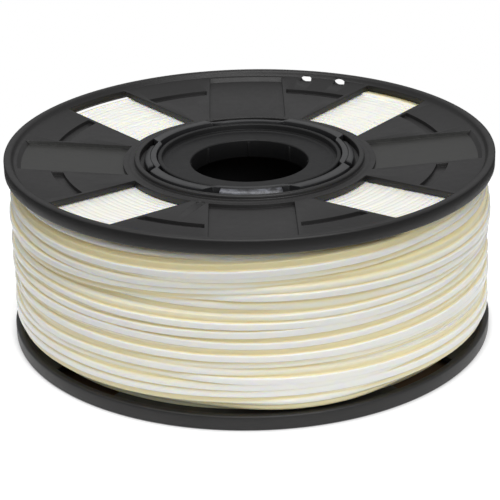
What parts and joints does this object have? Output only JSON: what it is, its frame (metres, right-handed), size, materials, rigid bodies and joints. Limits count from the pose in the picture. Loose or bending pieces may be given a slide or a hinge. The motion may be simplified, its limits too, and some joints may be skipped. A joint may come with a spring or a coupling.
{
  "type": "filament spool",
  "caption": "Black snap-together filament spool with dished flanges, diagonal windows, recessed bore inserts and ivory filament wound between the flanges.",
  "frame": {"origin": "centre of the ring on which the lower flange's rim stands", "axes": "+Z along the spool's axis towards the upper flange; +Y is the side with the upper flange's two tie holes; +X completes the right-handed frame"},
  "size_m": [0.2, 0.2, 0.078],
  "materials": {
    "spool_plastic": "satin moulded black",
    "insert_plastic": "satin moulded black",
    "filament": "natural ivory, slightly translucent"
  },
  "bodies": {
    "root": {"upper_flange": "spool_plastic", "lower_flange": "spool_plastic", "winding_drum": "spool_plastic", "upper_bore_insert": "insert_plastic", "lower_bore_insert": "insert_plastic", "filament_core": "filament", "filament_outer_turns": "filament"}
  },
  "joints": []
}
